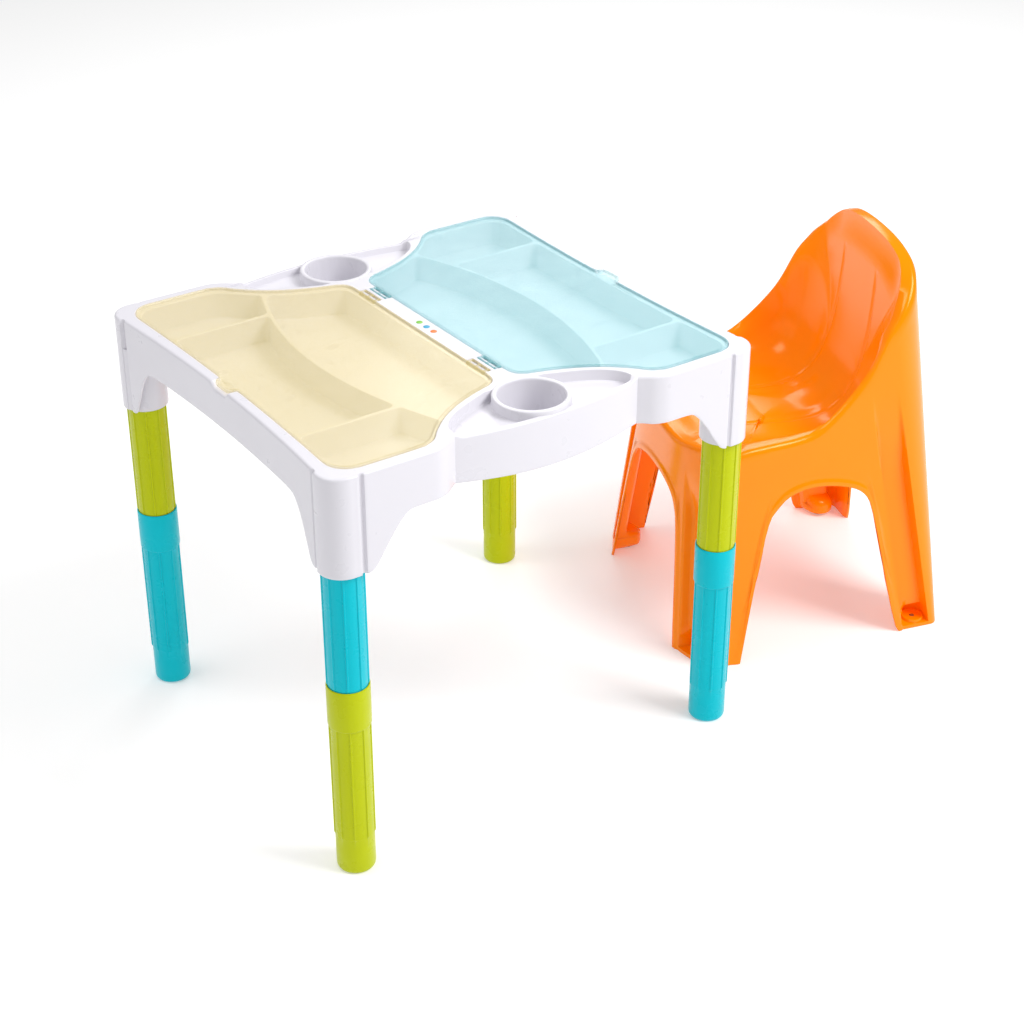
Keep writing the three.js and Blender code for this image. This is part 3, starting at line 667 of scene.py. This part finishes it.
legSection = buildLegSection()
legPlaces = [
    ("front_left", -1, -1, "turquoise", "green"), ("front_right", 1, -1, "green", "turquoise"),
    ("rear_left", -1, 1, "green", "turquoise"), ("rear_right", 1, 1, "turquoise", "green"),
]
for corner, sx, sy, upper, lower in legPlaces:
    place = (tableCentre[0] + sx * tableTop["pillar"][0], tableCentre[1] + sy * tableTop["pillar"][1])
    for level, colour, rise in (("lower", lower, 0), ("upper", upper, legShape["stack"])):
        copy = {"points": [(x, y, z + rise) for x, y, z in legSection["points"]], "faces": list(legSection["faces"])}
        section = makePiece(f"leg_{corner}_{level}_tube", copy, finishes[colour], "table", place)
        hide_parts(f"leg_{corner}_{level}")
print("legs ready")

# Dots on the strip between the lids.
dotShape = {"radius": 3.6, "thick": 0.6, "round": 0.22, "middle": 470.05,
            "across": {"green": 16, "blue": 2, "orange": -12}}
for colour, y in dotShape["across"].items():
    clearSelection()
    bpy.ops.mesh.primitive_cylinder_add(
        vertices=40, radius=dotShape["radius"] * mm, depth=dotShape["thick"] * mm, location=(0, 0, 0))
    dot = bpy.context.object
    dot.name = f"badge_{colour}_dot"
    bpy.ops.object.mode_set(mode="EDIT")
    bpy.ops.mesh.select_all(action="SELECT")
    bpy.ops.mesh.bevel(offset=dotShape["round"] * mm, segments=3)
    bpy.ops.transform.translate(value=(tableCentre[0] * mm, y * mm, dotShape["middle"] * mm))
    bpy.ops.object.mode_set(mode="OBJECT")
    bpy.ops.object.shade_smooth_by_angle(angle=math.radians(40))
    dot.data.materials.append(finishes["dot" + colour.capitalize()])
    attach(dot, "table")
    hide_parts(f"badge_dot_{colour}")
print("dots ready")

# Chair, in its own frame: x from front to back, y across, z up from the floor.
chairShape = {
    "place": (489.7, -30.7), "turn": math.radians(-18.1), "wall": 3.0,
    "halfWidth": 172.0, "taper": 0.049, "sideLean": 0.065,
    "front": -184.0, "frontLean": 0.1, "frontBow": 24.0, "frontRound": 18.0,
    "rear": 158.0, "rearLean": 0.099, "channel": 12.0, "rimRound": 6.5,
    "frontInner": (122, 0.19, 225), "frontOuter": 26, "rearSpan": (37, 4.5), "ramp": 3.5, "rearRound": (12, 0.1),
    "footFade": (4.5, 7.5), "frontFade": (228, 165), "rearFade": (325, 190), "wellFade": (27, 19),
    "frontPad": (-148.0, 134.0), "rearPad": (128.0, 141.0), "wellRadius": 15.0,
    "pivot": (-20.0, 420.0), "seatCentre": (-16.0, 254.0), "bowlWidth": 137.0, "core": 8.0,
    "rimBlend": 10.0, "rimWidth": 13.5, "rimWidens": 3.5, "rimDrop": 0.8,
    "beadWidth": 6.5, "beadHeight": 1.7,
    "grooveLow": 47.0, "grooveHigh": 43.0, "grooveWidth": 4.2, "grooveDepth": 1.6,
}
bowlProfile = [  # x, z and squareness of the seat and back, from the front edge to above the crest
    (-330, 236, 5), (-205, 246, 6), (-150, 254, 6), (-115, 258, 6), (-60, 257, 6), (-10, 253, 5.5), (25, 256, 5),
    (50, 270, 4.6), (68, 298, 4.2), (79, 340, 3.7), (84, 385, 3.2), (86, 430, 2.8), (84, 475, 2.6), (78, 530, 2.6),
]
sideRim = softLine([(-210, 236), (-168, 244), (-147, 264), (-116, 276), (-80, 279), (-47, 281), (-22, 286),
                    (-3, 299), (13, 314), (27, 329), (39, 344), (48, 359), (55, 374), (62, 389), (71, 405),
                    (83, 426), (94, 450), (102, 474), (108, 478.5), (130, 478.5)], 6)
crest = [(y, 438 + 39.3 * (1 - (y / 113) ** 2.2) ** 0.8) for y in range(0, 111, 5)]
backRim = crest + softLine([(113, 438.3), (120, 431), (128, 419.5), (132.8, 406.5), (136, 392), (142, 376),
                            (152, 355), (190, 330), (260, 300)], 6)
sideArch = softLine([(-111, 0), (-97, 90), (-81, 176), (-69, 198), (-53, 212), (-28, 218), (0, 216), (30, 207),
                     (47, 193), (55, 175), (66, 134), (88, 43), (100.5, 0)], 8)
endArch = softLine([(0, 196), (22, 195), (42, 191), (58, 184.5), (69, 174), (79, 153), (93, 93), (111, 0)], 8)


def polarBowl():  # the same profile as angle, distance and squareness, seen from the pivot
    px, pz = chairShape["pivot"]
    return sorted(
        (math.atan2(z - pz, x - px), math.hypot(x - px, z - pz), n) for x, z, n in softLine(bowlProfile, 8)
    )


bowlPolar = polarBowl()


def bowlReach(angle):  # distance and squareness of the bowl in a direction from the pivot
    if angle <= bowlPolar[0][0]:
        return bowlPolar[0][1:]
    for a, b in zip(bowlPolar, bowlPolar[1:]):
        if angle <= b[0]:
            t = (angle - a[0]) / (b[0] - a[0])
            return a[1] + (b[1] - a[1]) * t, a[2] + (b[2] - a[2]) * t
    return bowlPolar[-1][1:]


def chairWidth(x, z):
    s = chairShape
    return s["halfWidth"] - s["taper"] * (x - s["front"]) - s["sideLean"] * z


def chairColumns():  # one half of the skin's columns, from the middle of the front to the middle of the rear
    columns = [("front", q) for q in (0, 0.16, 0.3, 0.4, 0.48, 0.54, 0.6, 0.65, 0.69, 0.73, 0.76, 0.79, 0.815, 0.835,
                                      0.85, 0.862, 0.873, 0.884, 0.895, 0.906, 0.916, 0.925, 0.935, 0.946, 0.958,
                                      0.972, 0.986, 1)]
    columns += [("frontRamp", q) for q in (0.33, 0.67, 1)]
    columns += [("frontFloor", q) for q in (0.12, 0.25, 0.4, 0.5, 0.6, 0.75, 0.88, 1)]
    columns += [("frontRise", q) for q in (0.33, 0.67, 1)]
    columns += [("frontLip", q) for q in (0.3, 0.6)]
    columns += [("frontCorner", q) for q in (0, 0.14, 0.28, 0.42, 0.56, 0.7, 0.85)]
    columns += [("side", q) for q in (0, 0.04, 0.075, 0.1, 0.112, 0.123, 0.133, 0.143, 0.153, 0.164, 0.176, 0.19,
                                      0.205, 0.222, 0.24, 0.262, 0.29, 0.325, 0.365, 0.41, 0.46, 0.51, 0.56, 0.61,
                                      0.66, 0.7, 0.74, 0.775, 0.805, 0.83, 0.85, 0.867, 0.882, 0.895, 0.907, 0.918,
                                      0.929, 0.94, 0.951, 0.963, 0.975, 0.988, 1)]
    columns += [("rearRamp", q) for q in (0.33, 0.67, 1)]
    columns += [("rearFloor", q) for q in (0.12, 0.25, 0.4, 0.5, 0.6, 0.75, 0.88, 1)]
    columns += [("rearRise", q) for q in (0.33, 0.67, 1)]
    columns += [("rearCorner", k / 22) for k in range(22)]
    columns += [("rear", q) for q in (1, 0.95, 0.9, 0.86, 0.83, 0.805, 0.785, 0.765, 0.745, 0.725, 0.7, 0.675, 0.65,
                                      0.62, 0.58, 0.53, 0.47, 0.4, 0.32, 0.22, 0.11, 0)]
    return columns


def skinPoint(column, z, plain=False):  # where a column of the outer skin is at a height, before beads
    s = chairShape
    zone, q = column
    f = s["front"] + s["frontLean"] * z
    r = s["rear"] - s["rearLean"] * z
    cornerX = f + s["frontBow"]
    w = chairWidth(cornerX, z)
    foot, lean, highest = s["frontInner"]
    inner = foot - lean * min(z, highest)
    outer, ramp = w - s["frontOuter"], s["ramp"]
    reach = w - s["frontRound"]
    rearRound = s["rearRound"][0] + s["rearRound"][1] * z
    end = r - rearRound
    aboveFoot, inWell = smoothStep(*s["footFade"], z), smoothStep(*s["wellFade"], z)
    frontDepth = s["channel"] * smoothStep(*s["frontFade"], z) * aboveFoot
    rearDepth = s["channel"] * smoothStep(*s["rearFade"], z) * aboveFoot
    if plain:
        frontDepth, rearDepth = 0, 0
    rise = smoothStep(0, 1, q)
    stops = {"front": (0, inner), "frontRamp": (inner, inner + ramp), "frontFloor": (inner + ramp, outer),
             "frontRise": (outer, outer + ramp), "frontLip": (outer + ramp, reach)}
    if zone in stops:
        a, b = stops[zone]
        y = a + (b - a) * q
        share = {"front": 0, "frontRamp": rise, "frontFloor": 1, "frontRise": 1 - rise, "frontLip": 0}[zone]
        x = f + s["frontBow"] * (y / reach) ** 3 + frontDepth * share
        padX, padY = s["frontPad"]
        across = 1 - ((y - padY) / s["wellRadius"]) ** 2
        if share > 0 and across > 0:  # the round well above the foot plate
            deep = padX + s["wellRadius"] * math.sqrt(across)
            x += max(deep - x, 0) * aboveFoot * inWell
        return x, y
    if zone == "frontCorner":
        a = math.radians(15 + 75 * q)
        return cornerX + s["frontRound"] * (1 - math.cos(a)), w - s["frontRound"] * (1 - math.sin(a))
    start = cornerX + s["frontRound"]
    first, last = end - s["rearSpan"][0], end - s["rearSpan"][1]
    stops = {"side": (start, first), "rearRamp": (first, first + ramp), "rearFloor": (first + ramp, last),
             "rearRise": (last, last + ramp)}
    if zone in stops:
        a, b = stops[zone]
        x = a + (b - a) * q
        share = {"side": 0, "rearRamp": rise, "rearFloor": 1, "rearRise": 1 - rise}[zone]
        y = chairWidth(x, z) - rearDepth * share
        padX, padY = s["rearPad"]
        across = 1 - ((x - padX) / s["wellRadius"]) ** 2
        if share > 0 and across > 0:
            deep = padY - s["wellRadius"] * math.sqrt(across)
            y -= max(y - deep, 0) * aboveFoot * inWell
        return x, y
    wide = chairWidth(end, z)
    if zone == "rearCorner":
        a = math.radians(90 - 90 * q)
        return end + rearRound * math.cos(a), wide - rearRound + rearRound * math.sin(a)
    return r, (wide - rearRound) * q


def archHeight(column, z):
    x, y = skinPoint(column, z)
    if column[0] in ("front", "rear"):
        return readCurve(endArch, abs(y)) if abs(y) < 111 else 0
    if column[0] == "side":
        return readCurve(sideArch, x) if -111 < x < 100.5 else 0
    return 0


def skinFoot(column):  # where a column starts: on the floor, or at the edge of an arch
    if archHeight(column, 0.0) <= 0:
        return 0.0
    low, high = 0.0, 235.0
    for _ in range(22):
        middle = (low + high) / 2
        if archHeight(column, middle) > middle:
            low = middle
        else:
            high = middle
    return low


def skinTop(column):  # where a column meets the rim, with the side and the back blended
    low, high = 225.0, 500.0
    for _ in range(24):
        middle = (low + high) / 2
        x, y = skinPoint(column, middle, True)
        a, b = readCurve(sideRim, x), readCurve(backRim, abs(y))
        blend = chairShape["rimBlend"]
        h = max(blend - abs(a - b), 0) / blend
        cut = min(a, b) - h * h * blend / 4
        if cut > middle:
            low = middle
        else:
            high = middle
    return low


def beadLift(zone, x, y, z):  # the raised bead that runs round each arch
    s = chairShape
    if zone in ("front", "frontRamp", "rear"):
        line, u = endArch, abs(y)
    elif zone == "side":
        line, u = sideArch, x
    else:
        return 0
    near = min((a - u) ** 2 + (b - z) ** 2 for a, b in line)
    return s["beadHeight"] * smoothStep(s["beadWidth"] + 2, s["beadWidth"] - 1.5, math.sqrt(near))


def softMax(a, b, width):  # the larger, rounded over where the two are within width
    h = max(width - abs(a - b), 0) / width
    return max(a, b) + h * h * width / 4


def chairLocal(point, place):  # a point of the finished mesh in the chair's own frame, in mm
    cos, sin = math.cos(chairShape["turn"]), math.sin(chairShape["turn"])
    x, y = point.x / mm - place[0], point.y / mm - place[1]
    return x * cos + y * sin, y * cos - x * sin, point.z / mm


def cutSeatGrooves(piece, place):  # two shallow lines down the back and along the seat
    s = chairShape
    mesh = piece.data

    def away(y, z):
        return abs(abs(y) - (s["grooveLow"] + (s["grooveHigh"] - s["grooveLow"]) * smoothStep(270, 440, z)))

    def shown(x, z):
        above = smoothStep(243, 247, z) * (1 - smoothStep(410, 440, z))
        return above * (1 - smoothStep(92, 97, x)) * smoothStep(-140, -110, x)

    makeActive(piece)
    bpy.ops.object.mode_set(mode="EDIT")
    bpy.ops.mesh.select_mode(type="FACE")
    bpy.ops.mesh.select_all(action="DESELECT")
    bpy.ops.object.mode_set(mode="OBJECT")
    for face in mesh.polygons:
        x, y, z = chairLocal(face.center, place)
        face.select = away(y, z) < 2.2 * s["grooveWidth"] and shown(x, z) > 0
    bpy.ops.object.mode_set(mode="EDIT")
    bpy.ops.mesh.subdivide(number_cuts=3, ngon=False)
    bpy.ops.object.mode_set(mode="OBJECT")
    moves = []
    for point in mesh.vertices:
        x, y, z = chairLocal(point.co, place)
        deep = s["grooveDepth"] * shown(x, z) * (1 - smoothStep(0.3, s["grooveWidth"], away(y, z)))
        moves.append(point.co - point.normal * deep * mm)
    for point, spot in zip(mesh.vertices, moves):
        point.co = spot
    mesh.update()


def buildChairSkin():
    s = chairShape
    half = chairColumns()
    whole = [(c, 1) for c in half] + [(c, -1) for c in half[-2:0:-1]]
    px, pz = s["pivot"]
    cx, cz = s["seatCentre"]
    centreAngle = math.atan2(cz - pz, cx - px)
    lowRows = [0, 1.2, 2.6, 4.5, 6, 7.6, 9.5, 12, 15, 18.5, 22, 25.5]
    spread = [k / 30 for k in range(1, 31)]
    rimTurns = [15, 32, 50, 70, 90]
    inward = [0.0, 0.02, 0.045, 0.07, 0.095, 0.12, 0.145, 0.17, 0.2, 0.235, 0.27, 0.31, 0.35, 0.4, 0.45, 0.5, 0.56,
              0.62, 0.68, 0.74, 0.8]
    tops = [skinTop(column) for column in half]
    rimNormals = []
    for k, column in enumerate(half):
        before = skinPoint(half[max(k - 1, 0)], tops[k], True)
        after = skinPoint(half[min(k + 1, len(half) - 1)], tops[k], True)
        here = skinPoint(column, tops[k], True)
        normal = Vector((-(after[1] - before[1]), after[0] - before[0]))
        if k in (0, len(half) - 1):
            normal = Vector((-1, 0)) if k == 0 else Vector((1, 0))
        normal.normalize()
        if normal.dot(Vector((here[0] + 20, here[1]))) < 0:
            normal.negate()
        rimNormals.append(normal)
    for _ in range(4):
        inner = [(a + b * 2 + c).normalized() for a, b, c in zip(rimNormals, rimNormals[1:], rimNormals[2:])]
        rimNormals = [rimNormals[0], *inner, rimNormals[-1]]
    cache = {}
    stripes = []
    for column, way in whole:
        if column in cache:
            stripes.append([(x, -y if way < 0 else y, z) for x, y, z in cache[column]])
            continue
        k = half.index(column)
        foot, top, normal = skinFoot(column), tops[k], rimNormals[k]
        tall = top - s["rimRound"]
        stripe = []
        rows = [foot + d for d in lowRows]
        rows += [rows[-1] + (tall - rows[-1]) * t for t in spread]
        for z in rows:
            x, y = skinPoint(column, z)
            stripe.append([x, y, z])
        ox, oy = skinPoint(column, top, True)
        for point in stripe:
            lift = beadLift(column[0], *point)
            point[0] += normal.x * lift
            point[1] += normal.y * lift
        radius = s["rimRound"]
        for turn in rimTurns:
            a = math.radians(turn)
            into = radius * (1 - math.cos(a))
            stripe.append([ox - normal.x * into, oy - normal.y * into, tall + radius * math.sin(a)])
        edge = s["rimWidth"] + s["rimWidens"] * smoothStep(60, 95, ox)
        ix, iy, iz = ox - normal.x * edge, oy - normal.y * edge, top - s["rimDrop"]
        dx, dz = ix - px, iz - pz
        angle = math.atan2(dz, dx)
        rimAcross = min(max(iy / s["bowlWidth"], -0.985), 0.985)
        length = math.hypot(dx, dz)
        rimReach = bowlReach(angle)[0]
        rimShare = min((length - s["core"]) / (rimReach - s["core"]), 1.0)
        excess = max(length - rimReach, 0)
        for t in inward:
            u = rimAcross * (1 - t)
            turn = angle + (centreAngle - angle) * t
            reach, square = bowlReach(turn)
            own = (1 - abs(u) ** square) ** (1 / square)
            share = min(softMax(own, rimShare, 0.05), 1.0)
            rho = s["core"] + (reach - s["core"]) * share + excess * smoothStep(0.16, 0, t)
            wide = s["bowlWidth"] * u + (iy - s["bowlWidth"] * rimAcross) * smoothStep(0.2, 0, t)
            stripe.append([px + rho * math.cos(turn), wide, pz + rho * math.sin(turn)])
        cache[column] = stripe
        stripes.append([(x, -y if way < 0 else y, z) for x, y, z in stripe])
    shell = newShell()
    rings = [[stripe[r] for stripe in stripes] for r in range(len(stripes[0]))]
    if loopArea([(x, y) for x, y, z in rings[0]]) < 0:
        rings = [ring[::-1] for ring in rings]
    made = stackRings(shell, rings)
    middle = len(shell["points"])
    hubX = sum(shell["points"][i][0] for i in made[-1]) / len(made[-1])
    hubZ = sum(shell["points"][i][2] for i in made[-1]) / len(made[-1])
    shell["points"].append((hubX, 0.0, hubZ))
    for i, a in enumerate(made[-1]):
        shell["faces"].append((a, made[-1][(i + 1) % len(made[-1])], middle))
    place = (tableCentre[0] + s["place"][0], tableCentre[1] + s["place"][1])
    piece = makePiece("chair_moulding", shell, finishes["orange"], "chair", place, s["turn"], 60)
    cutSeatGrooves(piece, place)
    applyModifier(piece, "SOLIDIFY", thickness=s["wall"] * mm, offset=-1.0)
    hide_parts("chair_shell")
    return piece


chairPiece = buildChairSkin()
print("chair ready", len(chairPiece.data.polygons))

bossProfile = [  # distance from the pad's axis, and height
    (12.5, 4.0), (13.6, 4.0), (13.6, 8.2), (13.2, 8.9), (12.4, 9.2), (11.6, 9.1), (10.9, 8.6), (10.4, 8.0),
    (5, 7.9), (3.5, 7.9), (3.25, 7.6), (3.25, 4.0),
]
padProfile = [
    (7.2, 0.0), (8.3, 0.15), (8.9, 0.8), (9.0, 1.6), (9.0, 2.9), (8.6, 3.3), (4, 3.3), (2.9, 3.5), (2.9, 7.4),
    (2.5, 8.0), (1.6, 8.3),
]


def buildChairFoot(name, lx, ly):  # a round boss on the foot plate, and the pad plugged into it
    s = chairShape
    cos, sin = math.cos(s["turn"]), math.sin(s["turn"])
    x = tableCentre[0] + s["place"][0] + lx * cos - ly * sin
    y = tableCentre[1] + s["place"][1] + lx * sin + ly * cos
    shell = newShell()
    made = stackRings(shell, [circleRing(r, z, 48) for r, z in bossProfile])
    bridgeRings(shell, made[-1], made[0])
    boss = makePiece(f"chair_foot_boss_{name}", shell, finishes["orange"], "chair", (x, y))
    shell = newShell()
    made = stackRings(shell, [circleRing(r, z, 48) for r, z in padProfile])
    fillFlat(shell, made[0], (), False)
    fillFlat(shell, made[-1], (), True)
    pad = makePiece(f"chair_pad_{name}", shell, finishes["rubber"], "chair", (x, y))
    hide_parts(f"chair_foot_pad_{name}")


for end in ("front", "rear"):
    padX, padY = chairShape[end + "Pad"]
    buildChairFoot(end + "_near", padX, -padY)
    buildChairFoot(end + "_far", padX, padY)
print("chair feet ready")

# Floor, light and camera.
clearSelection()
floorLook = {
    "Base Color": (0.85, 0.85, 0.85, 1), "Roughness": 0.8, "Specular IOR Level": 0.1,
    "Emission Color": (1, 1, 1, 1), "Emission Strength": 0.22,
}
bpy.ops.mesh.primitive_plane_add(size=14, location=(0, 0, 0))
floor = bpy.context.object
floor.name = "floor"
paper = bpy.data.materials.new("floorPaper")
paper.use_nodes = True
setInputs(paper.node_tree.nodes["Principled BSDF"], floorLook)
floor.data.materials.append(paper)

sceneLook = {"sky": 0.62, "mirrored": 0.1, "key": 50, "side": 13, "back": 14}
world = bpy.data.worlds.new("studio")
bpy.context.scene.world = world
world.use_nodes = True
skyNodes, skyLinks = world.node_tree.nodes, world.node_tree.links
setInputs(skyNodes["Background"], {"Color": (1, 1, 1, 1)})
path = skyNodes.new("ShaderNodeLightPath")  # a darker surround in reflections keeps the colours deep
strength = skyNodes.new("ShaderNodeMapRange")
setInputs(strength, {"To Min": sceneLook["sky"], "To Max": sceneLook["mirrored"]})
skyLinks.new(path.outputs["Is Glossy Ray"], strength.inputs["Value"])
skyLinks.new(strength.outputs["Result"], skyNodes["Background"].inputs["Strength"])


def addSoftLight(name, power, size, place, target):
    light = bpy.data.lights.new(name, "AREA")
    light.energy = power
    light.size = size
    lamp = bpy.data.objects.new(name, light)
    bpy.context.scene.collection.objects.link(lamp)
    lamp.location = place
    lamp.rotation_euler = (Vector(target) - Vector(place)).to_track_quat("-Z", "Y").to_euler()


addSoftLight("keyLight", sceneLook["key"], 1.1, (0.9, -1.5, 2.3), (0.1, 0, 0.3))
addSoftLight("sideLight", sceneLook["side"], 0.9, (-1.0, 0.5, 2.4), (0.1, 0, 0.4))
addSoftLight("backLight", sceneLook["back"], 1.2, (1.5, 1.8, 1.9), (0.1, 0, 0.4))

cameraLook = {
    "lens": 72.592, "sensor": 36, "farEnd": 50,
    "place": (-1060.59, -1687.70, 1393.96),  # in millimetres, from the floor under the middle of the table
    "right": (0.821857, -0.569694, -0.000453), "upward": (0.285164, 0.410698, 0.866030),
}
camera = bpy.data.cameras.new("camera")
camera.lens = cameraLook["lens"]
camera.sensor_width = cameraLook["sensor"]
camera.clip_end = cameraLook["farEnd"]
viewer = bpy.data.objects.new("camera", camera)
bpy.context.scene.collection.objects.link(viewer)
right, upward = Vector(cameraLook["right"]), Vector(cameraLook["upward"])
turned = Matrix((right, upward, right.cross(upward))).transposed().to_4x4()
placeX, placeY, placeZ = cameraLook["place"]
spot = ((tableCentre[0] + placeX) * mm, (tableCentre[1] + placeY) * mm, placeZ * mm)
viewer.matrix_world = Matrix.Translation(spot) @ turned
bpy.context.scene.camera = viewer
bpy.context.scene.view_settings.view_transform = "Standard"

print("scene ready")
